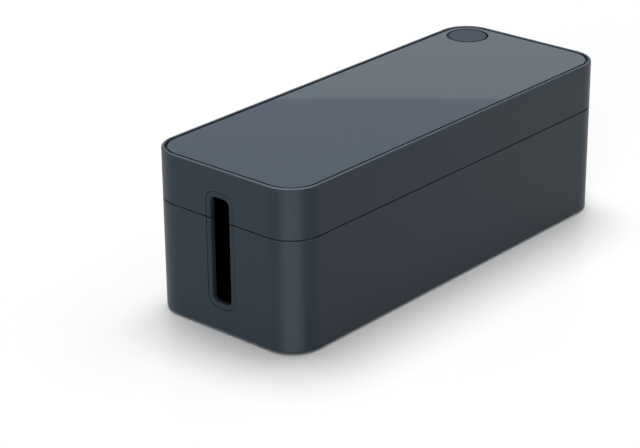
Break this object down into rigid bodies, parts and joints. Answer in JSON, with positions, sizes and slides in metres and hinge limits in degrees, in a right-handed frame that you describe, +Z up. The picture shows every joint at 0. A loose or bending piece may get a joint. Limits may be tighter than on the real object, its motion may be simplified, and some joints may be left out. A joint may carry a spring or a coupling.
{
  "type": "cable management box",
  "caption": "Long moulded box that hides a power strip: a tub under a deep lift-off lid, an upright cable slot at each end, an inlaid pad on top and a capped cable outlet.",
  "frame": {"origin": "centre of the bottom: the middle of the plane that the four feet stand on", "axes": "+Z up, +X along the box's length towards the end with the lid outlet, -Y the long front face"},
  "size_m": [0.406, 0.156, 0.139],
  "materials": {
    "shell": "anthracite moulded ABS with a fine satin grain",
    "pad": "smooth ABS sheet under a thin clear lacquer, a shade lighter than the shell",
    "cap": "matte moulded elastomer",
    "trim": "matte moulded elastomer in the shell's colour",
    "foot": "matte dark elastomer",
    "tape": "translucent acrylic double-sided tape"
  },
  "bodies": {
    "tub": {"base_tub": "shell", "slot_trim_left_lower": "trim", "slot_trim_right_lower": "trim", "foot_front_left": "foot", "foot_front_right": "foot", "foot_rear_left": "foot", "foot_rear_right": "foot", "foot_adhesive_front_left": "tape", "foot_adhesive_front_right": "tape", "foot_adhesive_rear_left": "tape", "foot_adhesive_rear_right": "tape"},
    "lid": {"lid_shell": "shell", "lid_pad": "pad", "pad_adhesive": "tape", "slot_trim_left_upper": "trim", "slot_trim_right_upper": "trim"},
    "cap": {"outlet_cap": "cap"}
  },
  "joints": [
    {"name": "lid_lift", "type": "slide", "parent": "tub", "child": "lid", "axis": [0, 0, 1], "range_m": [0, 0.15]},
    {"name": "cap_lift", "type": "slide", "parent": "lid", "child": "cap", "axis": [0, 0, 1], "range_m": [0, 0.04]}
  ]
}
